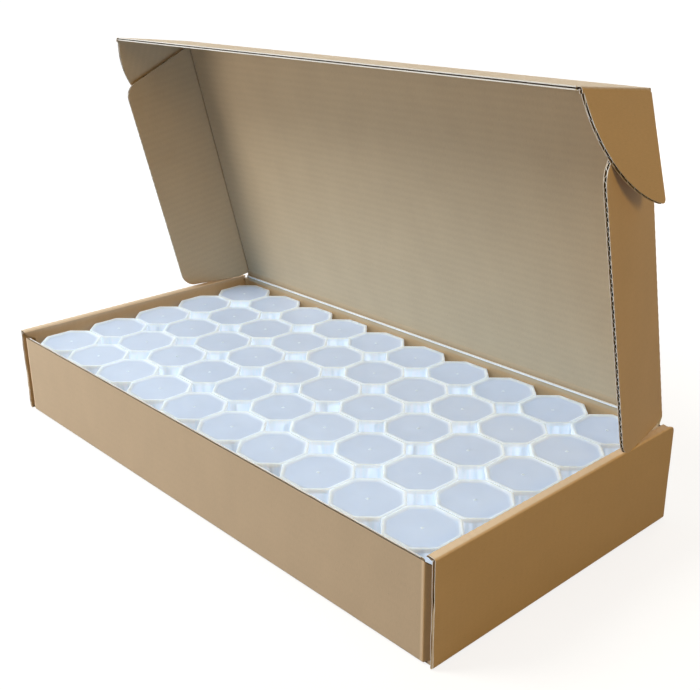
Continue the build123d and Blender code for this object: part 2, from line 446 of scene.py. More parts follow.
def plastic_group():
    """Cloudy frosted plastic over Object coordinates in metres."""
    name = "Frosted plastic"
    if name in bpy.data.node_groups:
        return bpy.data.node_groups[name]
    group, given, out = new_group(
        name, "ShaderNodeTree",
        [("Place", "Vector", None), ("Body", "Color", None), ("Rim", "Color", None),
         ("Thickness", "Float", 0.0), ("Cloud", "Float", 0.12)],
        [("Color", "Color"), ("Height", "Float"), ("Roughness", "Float"), ("Streak", "Float")])
    place = given["Place"]
    streak = noise_node(group, stretch_node(group, place, (1.0, 1.0, 0.12)), STREAK_SCALE, roughness=0.6)
    contrast = times(group, minus(group, streak, 0.5), STREAK_CONTRAST)
    cloud = noise_node(group, place, CLOUD_SCALE)
    # Thick parts take the paler colour, painted light standing in for light scattered in thick plastic
    tone = mix_node(group, given["Thickness"], given["Body"], given["Rim"])
    level = plus(group, 1.0, times(group, minus(group, cloud, 0.5), given["Cloud"]))
    feed(group, out, {
        "Color": mix_node(group, 1.0, tone, grey_node(group, level), "MULTIPLY"),
        "Height": noise_node(group, place, FROST_SCALE, roughness=0.6),
        "Roughness": plus(group, PLASTIC_ROUGHNESS, times(group, cloud, CLOUD_ROUGHNESS)),
        "Streak": math_node(group, "MAXIMUM", plus(group, contrast, 0.5), 0.0),
    })
    return group


def plastic_material():
    """Translucent frosted plastic, painted paler where it is thick and given a painted glow for the light that
    comes through it.
    """
    name = "polypropylene"
    if name in bpy.data.materials:
        return bpy.data.materials[name]
    material, tree, shader = new_material(name)
    look = finishes()
    cloud = add_node(tree, "ShaderNodeGroup", {
        "Place": add_node(tree, "ShaderNodeTexCoord").outputs["Object"],
        "Body": (*look.plastic, 1.0),
        "Rim": (*look.plastic_rim, 1.0),
        "Thickness": attribute_node(tree, "thickness").outputs["Fac"],
    }, node_tree=plastic_group())
    # Painted glow: emitted light in place of the light that comes through the plastic
    light = times(tree, attribute_node(tree, "glow").outputs["Fac"], cloud.outputs["Streak"])
    feed(tree, shader, {
        "Base Color": cloud.outputs["Color"],
        "Roughness": cloud.outputs["Roughness"],
        "Normal": bump_node(tree, cloud.outputs["Height"], strength=0.12),
        "Specular IOR Level": 0.3,
        "IOR": 1.49,
        "Subsurface Weight": 1.0,
        "Subsurface Radius": (0.9, 1.0, 1.1),
        "Subsurface Scale": 6.0 * MM,
        "Emission Color": mix_node(tree, 1.0, LIGHT_THROUGH, grey_node(tree, light), "MULTIPLY"),
        "Emission Strength": 0.38,
    })
    return material


# Meshes

# Edges sharper than these angles, in degrees, stay sharp.
BOARD_SHARP = 35.0
PLASTIC_SHARP = 38.0


def place_object(name, data):
    """A new object in the scene, at the origin."""
    made = bpy.data.objects.new(name, data)
    bpy.context.scene.collection.objects.link(made)
    return made


def face_outwards(mesh):
    """Turn the faces of closed shells outwards."""
    work = bmesh.new()
    work.from_mesh(mesh)
    bmesh.ops.recalc_face_normals(work, faces=work.faces)
    work.to_mesh(mesh)
    work.free()


def smooth(mesh, sharp):
    """Shade a mesh smooth except at its sharp edges."""
    mesh.shade_smooth()
    mesh.set_sharp_from_angle(angle=math.radians(sharp))


class BoardMesh:
    """Gathers the closed shells of one piece of board with their board coordinates."""

    def __init__(self):
        self.points = []
        self.sheet = []
        self.crease = []
        self.faces = []
        self.materials = []
        self.count = 0

    def slab(self, top, under, sheet_top, sheet_under, crease, material, cut=CUT):
        """A closed shell between two grids of points; its rim takes the cut edge's material."""
        rows, columns = top.shape[:2]
        drop = rows * columns
        index = np.arange(drop).reshape(rows, columns) + self.count
        for grid in (index, index + drop):
            quads = np.stack([grid[:-1, :-1], grid[1:, :-1], grid[1:, 1:], grid[:-1, 1:]], axis=-1)
            self.faces += quads.reshape(-1, 4).tolist()
            self.materials += [material] * ((rows - 1) * (columns - 1))
        loop = np.concatenate([index[0, :], index[1:, -1], index[-1, -2::-1], index[-2:0:-1, 0]])
        after = np.roll(loop, -1)
        self.faces += np.stack([loop, after, after + drop, loop + drop], axis=-1).tolist()
        self.materials += [cut] * len(loop)
        self.points += [top.reshape(-1, 3), under.reshape(-1, 3)]
        self.sheet += [sheet_top.reshape(-1, 3), sheet_under.reshape(-1, 3)]
        self.crease += [crease.reshape(-1), crease.reshape(-1)]
        self.count += 2 * drop

    def build(self, name):
        """The finished object, at the origin, with its place in its mesh."""
        mesh = bpy.data.meshes.new(name)
        mesh.from_pydata((np.concatenate(self.points) * MM).tolist(), [], self.faces)
        for material in board_materials():
            mesh.materials.append(material)
        mesh.polygons.foreach_set("material_index", self.materials)
        write_board(mesh, np.concatenate(self.sheet), np.concatenate(self.crease))
        face_outwards(mesh)
        smooth(mesh, BOARD_SHARP)
        return place_object(name, mesh)


def write_board(mesh, sheet, crease):
    """Board coordinates and the crease mask of painted fold shade and highlight, as point attributes."""
    sheet = np.asarray(sheet, np.float32).ravel()
    mesh.attributes.new("sheet", "FLOAT_VECTOR", "POINT").data.foreach_set("vector", sheet)
    crease = np.asarray(crease, np.float32)
    mesh.attributes.new("crease", "FLOAT", "POINT").data.foreach_set("value", crease)


def wander(positions, seed, length=14.0):
    """A smooth wave between -1 and 1 along positions in millimetres."""
    phase = seed * 1.7
    x = np.asarray(positions, float) / length
    # Size, pace and lag of each wave
    waves = ((1.0, 2.1, 1.0), (0.6, 5.3, 2.3), (0.4, 11.9, 3.1))
    return sum(size * np.sin(pace * x + lag * phase) for size, pace, lag in waves) / 2


def between(limits, wave):
    """Values between two limits for a wave from -1 to 1."""
    return limits[0] + (limits[1] - limits[0]) * (0.5 + 0.5 * wave)


# Folded board

# A fold crushes the board to this share of the fold's radius, where that is less than the board.
CRUSHED_SHARE = 0.94
# How much faster the depth of a groove varies than the cut edge, along the sides and along the end
GROOVE_PACE = 3.1
END_GROOVE_PACE = 2.3
COLUMNS_PER_FLUTE = 6


class FoldPath:
    """A line of runs and round folds in a plane, with the board on its left."""

    def __init__(self, start, direction):
        self.at = np.array(start, float)
        self.heading = math.atan2(direction[1], direction[0])
        self.points = [self.at.copy()]
        self.headings = [self.heading]
        self.fold = [0.0]
        self.room = [BOARD]

    def run(self, length, steps=1):
        """Straight on for a length."""
        way = np.array([math.cos(self.heading), math.sin(self.heading)])
        for _ in range(steps):
            self.at = self.at + way * (length / steps)
            self.points.append(self.at.copy())
            self.headings.append(self.heading)
            self.fold.append(0.0)
            self.room.append(BOARD)
        return self

    def bend(self, angle, radius, steps=7):
        """Round a fold by an angle in degrees towards the board's inner side, where the board is crushed."""
        turn = math.radians(angle)
        centre = self.at + radius * np.array([-math.sin(self.heading), math.cos(self.heading)])
        crushed = min(BOARD, CRUSHED_SHARE * radius)
        self.room[-1] = crushed
        for step in range(1, steps + 1):
            heading = self.heading + turn * step / steps
            left = np.array([-math.sin(heading), math.cos(heading)])
            self.points.append(centre - radius * left)
            self.headings.append(heading)
            self.fold.append(math.sin(math.pi * step / steps) if step < steps else 0.0)
            self.room.append(crushed)
        self.heading += turn
        self.at = self.points[-1].copy()
        return self

    def arrays(self):
        """Points, unit normals into the board, lengths along the path, fold mask and room for the board."""
        points = np.array(self.points)
        heading = np.array(self.headings)
        normals = np.stack([-np.sin(heading), np.cos(heading)], axis=-1)
        return points, normals, run_lengths(points), np.array(self.fold), np.array(self.room)


def run_lengths(points):
    """Lengths along a line of points."""
    return np.concatenate([[0.0], np.cumsum(np.linalg.norm(np.diff(points, axis=0), axis=1))])


def mirrored(arrays):
    """A path that starts at X = 0, joined to its mirror image there."""
    points, normals, _, fold, room = arrays
    flip = np.array([-1.0, 1.0])
    points = np.concatenate([points[::-1], points[1:] * flip])
    normals = np.concatenate([normals[::-1], normals[1:] * flip])
    fold, room = (np.concatenate([values[::-1], values[1:]]) for values in (fold, room))
    return points, normals, run_lengths(points), fold, room


def flute_columns(length):
    """Columns of points that show every flute of a length."""
    return int(length / carton().flute_pitch * COLUMNS_PER_FLUTE)


def folded_board(arrays, spans, columns, to_frame, across_path, rippled, seed=0, crease_side=1.0,
                 groove=(0.5, 1.0), end_groove=None, rag=1.0, cut=(CUT, CUT, SHADED_FLUTES), worn=0.35, liner=None):
    """Outer liner, inner liner and core of a board that follows a fold path.

    arrays holds the line of the board's outer face, spans its two ends across the line at each point,
    columns how many columns it has or their shares of a span. to_frame takes points of the line and places
    across it to the shared frame. across_path says that the flutes run along the line, so the washboard is
    counted across it, and rippled that the liner sinks between the flutes on a fold. crease_side and
    worn say how much painted shade darkens the folds of the inner liner and of the rest, or
    how much painted highlight lightens them where they are below zero.
    groove and end_groove are the least and the most that the core lies back from the cut sides and from the
    line's end, rag how ragged the sides are, cut the materials of the liners' and the core's cut edges,
    liner a liner thickness of its own.
    """
    sizes = carton()
    liner = liner or sizes.liner
    points, normals, lengths, fold, room = arrays
    spans = np.asarray(spans, float)
    share = np.linspace(0.0, 1.0, columns) if isinstance(columns, int) else columns
    straight = spans[:, :1] + (spans[:, 1:] - spans[:, :1]) * share[None, :]
    stray = rag * sizes.edge_wander * wander(lengths, seed)
    set_back = between(groove, wander(lengths * GROOVE_PACE, seed + 2))
    board = BoardMesh()
    for first, last, material in (
            (0.0, liner, OUTSIDE), (BOARD - liner, BOARD, INSIDE), (liner, BOARD - liner, SHADED_FLUTES)):
        core = material == SHADED_FLUTES
        inset = set_back if core else stray
        across = straight.copy()
        across[:, 0] += inset
        across[:, -1] -= inset[::-1]
        along = np.broadcast_to(lengths[:, None], across.shape)
        grids, sheets = [], []
        for depth in (first, last):
            sink = np.zeros_like(across)
            if rippled:
                ripple = 0.5 - 0.5 * np.cos(2 * math.pi * across / sizes.flute_pitch)
                sink = sizes.crease_ripple * fold[:, None] * ripple
            offset = depth * room[:, None] / BOARD + sink * (1.0 - depth / BOARD)
            flat = points[:, None, :] + normals[:, None, :] * offset[:, :, None]
            if core and end_groove:
                back = between(end_groove, wander(across[-1] * END_GROOVE_PACE, seed))
                way = points[-1] - points[-2]
                flat[-1] -= back[:, None] * way / np.linalg.norm(way)
            grids.append(to_frame(flat, across))
            first_axis, second_axis = (across, along) if across_path else (along, across)
            sheets.append(np.stack([first_axis, second_axis, np.full_like(across, depth)], axis=-1))
        # The fold mask times these levels: painted shade where above zero, painted highlight where below zero
        mask = np.broadcast_to(fold[:, None], across.shape) * (crease_side if material == INSIDE else worn)
        board.slab(grids[0], grids[1], sheets[0], sheets[1], mask, material, cut[material])
    return board


# Geometry Nodes

# Fluted paper: how far it ends inside the outline across the flutes, how steep its flutes are, and how close
# two points are that become one
PAPER_MARGIN = 0.3
FLUTE_STEEPNESS = 1.8
MERGE_DISTANCE = 0.002
# The wall round the outline that rays from outside meet, how far outside they start and how far they go
WALL_HEIGHT = 1.0
RAY_START = 5.0
RAY_LENGTH = 1000.0


def join_node(tree, *parts):
    """Several geometries as one."""
    node = add_node(tree, "GeometryNodeJoinGeometry")
    for part in parts:
        tree.links.new(part, node.inputs[0])
    return node.outputs[0]


def raised_node(tree, mesh, height):
    """The mesh's faces pushed out by a height, with their sides."""
    inputs = {"Mesh": mesh, "Offset Scale": height, "Individual": False}
    return add_node(tree, "GeometryNodeExtrudeMesh", inputs, mode="FACES")


def split_node(tree, vector):
    """The parts of a vector, by name."""
    return add_node(tree, "ShaderNodeSeparateXYZ", {0: vector}).outputs


def vector_node(tree, **parts):
    """A vector from its parts."""
    return add_node(tree, "ShaderNodeCombineXYZ", parts).outputs[0]


def fluted_tree():
    """Turns a flat outline into fluted board: two liners and the fluted paper, cut to the outline."""
    name = "Fluted board"
    if name in bpy.data.node_groups:
        return bpy.data.node_groups[name]
    tree, given, out = new_group(
        name, "GeometryNodeTree",
        [("Outline", "Geometry", None), ("Board", "Float", 2.2), ("Liner", "Float", 0.3),
         ("Paper", "Float", 0.25), ("Flute pitch", "Float", 5.8), ("Edge inset", "Float", 0.3),
         ("Steps per flute", "Int", 10), ("First liner", "Material", None),
         ("Second liner", "Material", None), ("Flutes", "Material", None), ("Cut edge", "Material", None)],
        [("Board mesh", "Geometry")])

    def sheet(mesh, thickness, rise, material):
        """The mesh's faces thickened upwards and lifted by rise, and which faces are the sides."""
        raised = raised_node(tree, mesh, thickness)
        under = add_node(tree, "GeometryNodeFlipFaces", {"Mesh": mesh})
        both = join_node(tree, under.outputs["Mesh"], raised.outputs["Mesh"])
        merge = add_node(tree, "GeometryNodeMergeByDistance", {"Geometry": both, "Distance": MERGE_DISTANCE})
        coat = add_node(tree, "GeometryNodeSetMaterial", {"Geometry": merge.outputs[0], "Material": material})
        lift = add_node(tree, "GeometryNodeTransform",
                        {"Geometry": coat.outputs[0], "Translation": vector_node(tree, Z=rise)})
        return lift.outputs[0], raised.outputs["Side"]

    first, first_side = sheet(given["Outline"], given["Liner"], 0.0, given["First liner"])
    second_rise = minus(tree, given["Board"], given["Liner"])
    second, second_side = sheet(given["Outline"], given["Liner"], second_rise, given["Second liner"])

    # A strip two points wide, as long as the outline is across the flutes
    box = add_node(tree, "GeometryNodeBoundBox", {0: given["Outline"]})
    lowest = split_node(tree, box.outputs["Min"])
    highest = split_node(tree, box.outputs["Max"])
    span = minus(tree, minus(tree, highest["X"], lowest["X"]), 2 * PAPER_MARGIN)
    flutes = math_node(tree, "DIVIDE", span, given["Flute pitch"])
    steps = math_node(tree, "CEIL", times(tree, flutes, given["Steps per flute"]))
    strip = add_node(tree, "GeometryNodeMeshGrid",
                     {"Size X": span, "Size Y": 2.0, "Vertices X": steps, "Vertices Y": 2})

    # Rays from both sides find where the outline ends along each flute.
    middle_x = times(tree, plus(tree, highest["X"], lowest["X"]), 0.5)
    middle_y = times(tree, plus(tree, highest["Y"], lowest["Y"]), 0.5)
    reach = plus(tree, minus(tree, highest["Y"], middle_y), RAY_START)
    place = split_node(tree, add_node(tree, "GeometryNodeInputPosition").outputs[0])
    x = plus(tree, place["X"], middle_x)
    end = math_node(tree, "SIGN", place["Y"])
    start = vector_node(tree, X=x, Y=plus(tree, middle_y, times(tree, end, reach)), Z=WALL_HEIGHT / 2)
    cast = add_node(tree, "GeometryNodeRaycast", {
        "Target Geometry": raised_node(tree, given["Outline"], WALL_HEIGHT).outputs["Mesh"],
        "Source Position": start,
        "Ray Direction": vector_node(tree, Y=times(tree, end, -1.0)),
        "Ray Length": RAY_LENGTH,
    })
    struck = split_node(tree, cast.outputs["Hit Position"])["Y"]
    y = minus(tree, struck, times(tree, end, given["Edge inset"]))

    # The paper swings between the liners and lies flat where it is glued to them.
    room = minus(tree, given["Board"], times(tree, given["Liner"], 2.0))
    swing = times(tree, minus(tree, room, given["Paper"]), 0.5)
    turns = times(tree, math_node(tree, "DIVIDE", x, given["Flute pitch"]), 2 * math.pi)
    steep = times(tree, math_node(tree, "SINE", turns), FLUTE_STEEPNESS)
    glued = math_node(tree, "MAXIMUM", math_node(tree, "MINIMUM", steep, 1.0), -1.0)
    base = minus(tree, times(tree, given["Board"], 0.5), times(tree, given["Paper"], 0.5))
    z = plus(tree, times(tree, glued, swing), base)
    move = add_node(tree, "GeometryNodeSetPosition",
                    {"Geometry": strip.outputs["Mesh"], "Position": vector_node(tree, X=x, Y=y, Z=z)})
    medium, medium_side = sheet(move.outputs[0], given["Paper"], 0.0, given["Flutes"])

    real = add_node(tree, "GeometryNodeRealizeInstances", {0: join_node(tree, first, second, medium)})
    liners = add_node(tree, "FunctionNodeBooleanMath", {0: first_side, 1: second_side}, operation="OR")
    sides = add_node(tree, "FunctionNodeBooleanMath", {0: liners.outputs[0], 1: medium_side}, operation="OR")
    edge = add_node(tree, "GeometryNodeSetMaterial", {
        "Geometry": real.outputs[0], "Selection": sides.outputs[0], "Material": given["Cut edge"]})
    feed(tree, out, {0: edge.outputs[0]})
    return tree


def field_tree():
    """Puts a copy of a mould at each point, each turned a little by itself."""
    name = "Tube field"
    if name in bpy.data.node_groups:
        return bpy.data.node_groups[name]
    tree, given, out = new_group(
        name, "GeometryNodeTree",
        [("Spots", "Geometry", None), ("Mould", "Object", None), ("Turn", "Float", 0.01), ("Seed", "Int", 1),
         ("Plastic", "Material", None)],
        [("Tubes", "Geometry")])
    mould = add_node(tree, "GeometryNodeObjectInfo", {"Object": given["Mould"]})
    spots = add_node(tree, "GeometryNodeMeshToPoints", {0: given["Spots"]})
    turn = add_node(tree, "FunctionNodeRandomValue", {"Seed": given["Seed"]}, data_type="FLOAT")
    least, most = [socket for socket in turn.inputs if socket.type == "VALUE"][:2]
    tree.links.new(times(tree, given["Turn"], -1.0), least)
    tree.links.new(given["Turn"], most)
    yaw = [socket for socket in turn.outputs if socket.type == "VALUE"][0]
    stand = add_node(tree, "GeometryNodeInstanceOnPoints", {
        "Points": spots.outputs[0],
        "Instance": mould.outputs["Geometry"],
        "Rotation": vector_node(tree, Z=yaw),
    })
    real = add_node(tree, "GeometryNodeRealizeInstances", {0: stand.outputs[0]})
    coat = add_node(tree, "GeometryNodeSetMaterial",
                    {"Geometry": real.outputs[0], "Material": given["Plastic"]})
    feed(tree, out, {0: coat.outputs[0]})
    return tree


def grown(seed_mesh, tree, values):
    """The plain mesh that a Geometry Nodes tree makes of a seed mesh."""
    seed = place_object("seed", seed_mesh)
    modifier = seed.modifiers.new("Nodes", "NODES")
    modifier.node_group = tree
    for item in tree.interface.items_tree:
        if item.in_out == "INPUT" and item.name in values:
            modifier[item.identifier] = values[item.name]
    graph = bpy.context.evaluated_depsgraph_get()
    mesh = bpy.data.meshes.new_from_object(seed.evaluated_get(graph))
    seed.modifiers.remove(modifier)
    bpy.data.objects.remove(seed)
    return mesh


def flute_outline(outline, outer_first, basis, name):
    """A piece of fluted board from a flat outline in millimetres, set in the shared frame.

    The outline's X runs across the flutes. outer_first says that the outer liner is the lower one of the
    outline's own frame. basis is that frame's origin and its three axes.
    """
    sizes = carton()
    flat = bpy.data.meshes.new(name)
    flat.from_pydata([(x, y, 0.0) for x, y in outline], [], [list(range(len(outline)))])
    outside, inside, flutes, cut = board_materials()
    first, second = (outside, inside) if outer_first else (inside, outside)
    mesh = grown(flat, fluted_tree(), {
        "Board": BOARD, "Liner": sizes.liner, "Paper": sizes.paper, "Flute pitch": sizes.flute_pitch,
        "First liner": first, "Second liner": second, "Flutes": flutes, "Cut edge": cut})
    mesh.name = name
    local = np.zeros(len(mesh.vertices) * 3, np.float32)
    mesh.vertices.foreach_get("co", local)
    write_board(mesh, local, np.zeros(len(mesh.vertices)))
    origin, first_axis, second_axis, third_axis = basis
    columns = Matrix((first_axis, second_axis, third_axis)).transposed().to_4x4()
    mesh.transform(Matrix.Scale(MM, 4) @ Matrix.Translation(origin) @ columns)
    smooth(mesh, BOARD_SHARP)
    return place_object(name, mesh)


def rounded(corners, radius, steps=6):
    """A polygon's points, counter-clockwise, with the corners that have a radius rounded."""
    made = []
    count = len(corners)
    for k in range(count):
        at = np.array(corners[k], float)
        if radius[k] == 0:
            made.append(tuple(at))
            continue
        back = np.array(corners[k - 1], float) - at
        ahead = np.array(corners[(k + 1) % count], float) - at
        back /= np.linalg.norm(back)
        ahead /= np.linalg.norm(ahead)
        half = math.acos(float(np.clip(back @ ahead, -1, 1))) / 2
        inward = (back + ahead) / np.linalg.norm(back + ahead)
        centre = at + inward * radius[k] / math.sin(half)
        first = at + back * radius[k] / math.tan(half) - centre
        last = at + ahead * radius[k] / math.tan(half) - centre
        start = math.atan2(first[1], first[0])
        turn = (math.atan2(last[1], last[0]) - start + math.pi) % (2 * math.pi) - math.pi
        for step in range(steps + 1):
            angle = start + turn * step / steps
            made.append((centre[0] + radius[k] * math.cos(angle), centre[1] + radius[k] * math.sin(angle)))
    return made


def dress(made, body, *nodes):
    """Set a finished board piece on its body, in the place of its nodes."""
    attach(made, body)
    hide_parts(*nodes)


# Tray

# Radius of the walls' folds at the floor
BOTTOM_FOLD = 2.2
# A run this short makes a step in an outline.
STEP = 0.02


class CARTON_OT_end_walls(bpy.types.Operator):
    """Rolled end walls: outer panel, rim and inner panel from one strip of board"""

    bl_idname = "coin_carton.end_walls"
    bl_label = "End walls"

    # Outer panel: the straight start above the floor's fold, and the radius of its back top corner
    heel = 1.0
    back_corner = 4.6
    # Inner panel: its notch at the front, its play between the long walls, its lower edge and its slope
    notch_depth = 6.5
    notch_top = 63.2
    rim_notch = {"right": 1.0, "left": 0.0}
    play = 0.2
    foot = 2.4
    slope_drop = 4.0
    # Painted light of the rim strip and of so many points of the fold before it, a painted highlight on its top
    # and painted shade under it, and the grooves in the cut edges, which widen over a run from a height up
    strip_wear = 0.9
    worn_points = 3
    torn_height = 36.0
    torn_run = 6.0
    whole_groove = (0.05, 0.3)
    torn_groove = (0.8, 1.8)

    def execute(self, context):
        path, inner_start = self.wall_line()
        arrays = path.arrays()
        heights = arrays[0][:, 1]
        torn = np.clip((heights - self.torn_height) / self.torn_run, 0.0, 1.0)
        groove = [whole + (gape - whole) * torn for whole, gape in zip(self.whole_groove, self.torn_groove)]
        for number, (side, sign) in enumerate(SIDES.items()):
            spans = [self.span(z, k >= inner_start, self.rim_notch[side]) for k, z in enumerate(heights)]

            def to_frame(flat, across, sign=sign):
                return np.stack([sign * flat[..., 0], across, flat[..., 1]], axis=-1)

            # Folds get painted shade on the inner liner and a painted highlight on the outer liner and the core
            board = folded_board(
                arrays, spans, flute_columns(2 * HALF_WIDTH), to_frame, True, True, seed=number + 1,
                crease_side=0.6, rag=2.6, groove=groove, cut=(CUT, CUT, INSIDE), worn=-1.0)
            made = board.build(f"end_wall_{side}")
            dress(made, "tray", f"end_panel_{side}", f"rim_strip_{side}", f"inner_panel_{side}")
        return {"FINISHED"}

    def wall_line(self):
        """Line of the outer face from the floor over the rim and down inside, and its inner panel's start."""
        radius = carton().fold_radius
        path = FoldPath((FLOOR_END, 0.0), (1, 0))
        path.run(HALF_LENGTH - BOTTOM_FOLD - FLOOR_END).bend(90, BOTTOM_FOLD).run(self.heel)
        # The fold at the floor gets neither ripple nor painted fold light.
        path.fold = [0.0] * len(path.fold)
        path.run(END_HEIGHT - BOTTOM_FOLD - self.back_corner - self.heel, 14)
        path.run(self.back_corner - radius, 6).bend(90, radius, 9)
        strip_light_from = len(path.fold) - self.worn_points
        path.run(HALF_LENGTH - INNER_FACE - 2 * radius, 3)
        path.fold[strip_light_from:] = [self.strip_wear] * (len(path.fold) - strip_light_from)
        path.bend(90, radius, 9)
        inner_start = len(path.points)
        path.run(END_HEIGHT - radius - self.notch_top, 2).run(STEP).run(self.notch_top - self.foot, 3)
        return path, inner_start

    def span(self, z, inner, rim_notch):
        """Front and back end at a height, of the inner panel or of the rest."""
        straight = HALF_WIDTH - self.back_corner
        if inner:
            notch = self.notch_depth if z < self.notch_top else rim_notch
            slope = straight + max(END_HEIGHT - self.slope_drop - z, 0.0)
            return -INNER_HALF + self.play + notch, min(INNER_HALF - self.play, slope)
        over = max(z - (END_HEIGHT - self.back_corner), 0.0)
        return -HALF_WIDTH, straight + math.sqrt(max(self.back_corner ** 2 - over ** 2, 0.0))


class CARTON_OT_long_walls(bpy.types.Operator):
    """Front and back walls with their corner flaps"""

    bl_idname = "coin_carton.long_walls"
    bl_label = "Front and back walls"

    # Lower edges, the facet at the front wall's folds, the short run in place of the facet's second fold on
    # the back wall, and how far the back wall ends below the end walls
    flap_foot = 2.5
    wall_foot = 0.1
    splay_run = 5.5
    plain_run = 1.0
    hinge_notch = 3.6
    # Scored ridge and torn burr along the walls' tops: outlines across and up from the inner top edge, the
    # ridge's gap at its ends, and the depth, the waviness and the columns of both
    ridge = ((-0.15, -0.9), (-0.35, -0.35), (-0.2, 0.0), (0.5, 0.12), (1.25, 0.05))
    burr = ((-0.7, -0.05), (-0.5, 0.14), (-0.2, 0.14), (0.05, -0.05), (0.1, -0.5))
    ridge_gap = 1.2
    bead_depth = 0.4
    bead_stray = 0.25
    bead_columns = 90

    def execute(self, context):
        sizes = carton()
        # Columns lie close together over the round fold at the foot.
        shares = np.concatenate([np.linspace(0.0, 0.034, 7), np.linspace(0.09, 1.0, 12)])
        for wall, sign in (("front", -1), ("back", 1)):
            top = FRONT_HEIGHT if wall == "front" else END_HEIGHT - self.hinge_notch
            arrays = self.wall_line(sizes.corner_inset if wall == "front" else 0.0)
            past = np.clip((HALF_WIDTH - arrays[0][:, 1]) / sizes.fold_radius, 0.0, 1.0)
            feet = self.wall_foot + past * (self.flap_foot - self.wall_foot)
            spans = np.stack([feet, top + past * (CORNER_FLAP_TOP - top)], axis=-1)

            def to_frame(flat, across, sign=sign):
                under = np.clip(BOTTOM_FOLD - across, 0.0, None)
                inward = BOTTOM_FOLD - np.sqrt(np.clip(BOTTOM_FOLD ** 2 - under ** 2, 0.0, None))
                return np.stack([flat[..., 0], sign * (flat[..., 1] - inward), across], axis=-1)

            # Folds get painted shade on the inner liner and a painted highlight on the outer liner and the core
            board = folded_board(
                arrays, spans, shares, to_frame, True, False, seed=5 + sign, crease_side=0.5,
                groove=(1.2, 3.2), cut=(SHADED_FLUTES, CUT, SHADED_FLUTES), worn=-1.1)
            if wall == "back":
                self.bead(board, self.ridge, FLAP_OUTER - self.ridge_gap, INNER_HALF, END_HEIGHT)
            else:
                self.bead(board, self.burr, EAR_OUTER - sizes.corner_inset, -INNER_HALF, FRONT_HEIGHT)
            made = board.build(f"{wall}_wall")
            dress(made, "tray", f"{wall}_panel", f"corner_flap_{wall}_right", f"corner_flap_{wall}_left")
        return {"FINISHED"}

    def bead(self, board, outline, half, y, z):
        """Bead of raised or torn paper along a wall's top; its outline is given from y and z."""
        x = np.linspace(-half, half, self.bead_columns)
        outline = np.array(outline)
        across = y + outline[:, :1] * (1.0 + self.bead_stray * wander(x, seed=6, length=9.0))
        along = np.broadcast_to(x, across.shape)
        up = np.broadcast_to(z + outline[:, 1:], across.shape)
        top, under = (np.stack([along, across, up - depth], axis=-1) for depth in (0.0, self.bead_depth))
        sheet = np.stack([up, along, np.zeros(across.shape)], axis=-1)
        board.slab(top, under, sheet, sheet, np.zeros(across.shape), CUT)

    def wall_line(self, inset):
        """Line of a wall's outer face from above, corner flap to corner flap, with its folds set in."""
        radius = carton().fold_radius
        slant = math.degrees(math.atan2(inset, self.splay_run))
        path = FoldPath((0.0, HALF_WIDTH), (-1, 0))
        path.run(EAR_OUTER - inset, 18).run(STEP).run(FOLD_END - EAR_OUTER - radius - STEP, 2)
        # The fold's first point takes the full painted fold light.
        path.fold[-1] = 1.0
        path.bend(90 - slant, radius)
        crushed = path.room[-1]
        path.run(math.hypot(inset, self.splay_run), 2)
        if slant:
            # The facet is crushed as thin as its fold.
            path.room[-2:] = [crushed, crushed]
            path.bend(slant, radius, 3)
        else:
            path.run(self.plain_run)
        path.run(path.at[1] + CORNER_FLAP_END, 3)
        return mirrored(path.arrays())


class CARTON_OT_floor(bpy.types.Operator):
    """Bottom panel's kraft finish"""

    bl_idname = "coin_carton.floor"
    bl_label = "Bottom panel"

    def execute(self, context):
        material = kraft_material(
            "kraft_floor", finishes().board_outside, washboard=0.004, from_attribute=False)
        for slot in frame["nodes"]["bottom_panel"].material_slots:
            slot.material = material
        return {"FINISHED"}


# Lid

# Where the lid's flat board starts above the hinge, and where its faces lie, counted inwards from the hinge
LID_START = 4.0
LID_INNER = -0.15
LID_OUTER = LID_INNER - BOARD
# How far a crease reaches onto the flat boards beside it, and how far these reach under it
CREASE_LEAD = 2.4
LAP = 0.2
# How far a crease's tongue lies inside the faces of its flap
TONGUE_STEP = 0.3


def panel_point(origin, up, inward, x, s, n):
    """Points of a panel's own frame, in the shared frame: along X, up the panel and inwards."""
    return (np.asarray(x)[..., None] * np.array(ALONG) + np.asarray(s)[..., None] * np.array(up)
            + np.asarray(n)[..., None] * np.array(inward) + np.array(origin))


def lid_point(x, s, n):
    """Points of the lid's own frame, from its hinge, in the shared frame."""
    return panel_point(HINGE, LID_UP, LID_IN, x, s, n)


def tuck_point(x, s, n):
    """Points of the tuck flap's own frame, from its crease, in the shared frame."""
    return panel_point(TUCK_CREASE, TUCK_OUT, TUCK_IN, x, s, n)


def crease_corner(outer, splay, pivot):
    """Where a fold's arc starts on the flat panel, before a flap splayed from square."""
    corner = pivot + outer * math.tan(splay)
    return corner - carton().fold_radius * math.tan((math.pi / 2 - splay) / 2)


def flat_end(outer, splay, pivot):
    """Where the flat panel ends, just under its crease."""
    return crease_corner(outer, splay, pivot) - CREASE_LEAD + LAP


def crease_path(outer, splay, pivot):
    """Line of a crease's outer face from a panel onto its flap."""
    path = FoldPath((crease_corner(outer, splay, pivot) - CREASE_LEAD, outer), (1, 0))
    path.run(CREASE_LEAD, 2).bend(90 - math.degrees(splay), carton().fold_radius, 9)
    return path.run(CREASE_LEAD, 2)


def tongue_path(outer, splay, pivot):
    """Line of a crease that ends in a thin tongue inside its flap, and so stays closed as the flap turns."""
    path = crease_path(outer, splay, pivot)
    path.points[-1] = path.points[-1] + TONGUE_STEP * path.arrays()[1][-1]
    path.room[-1] = BOARD - 2 * TONGUE_STEP
    return path


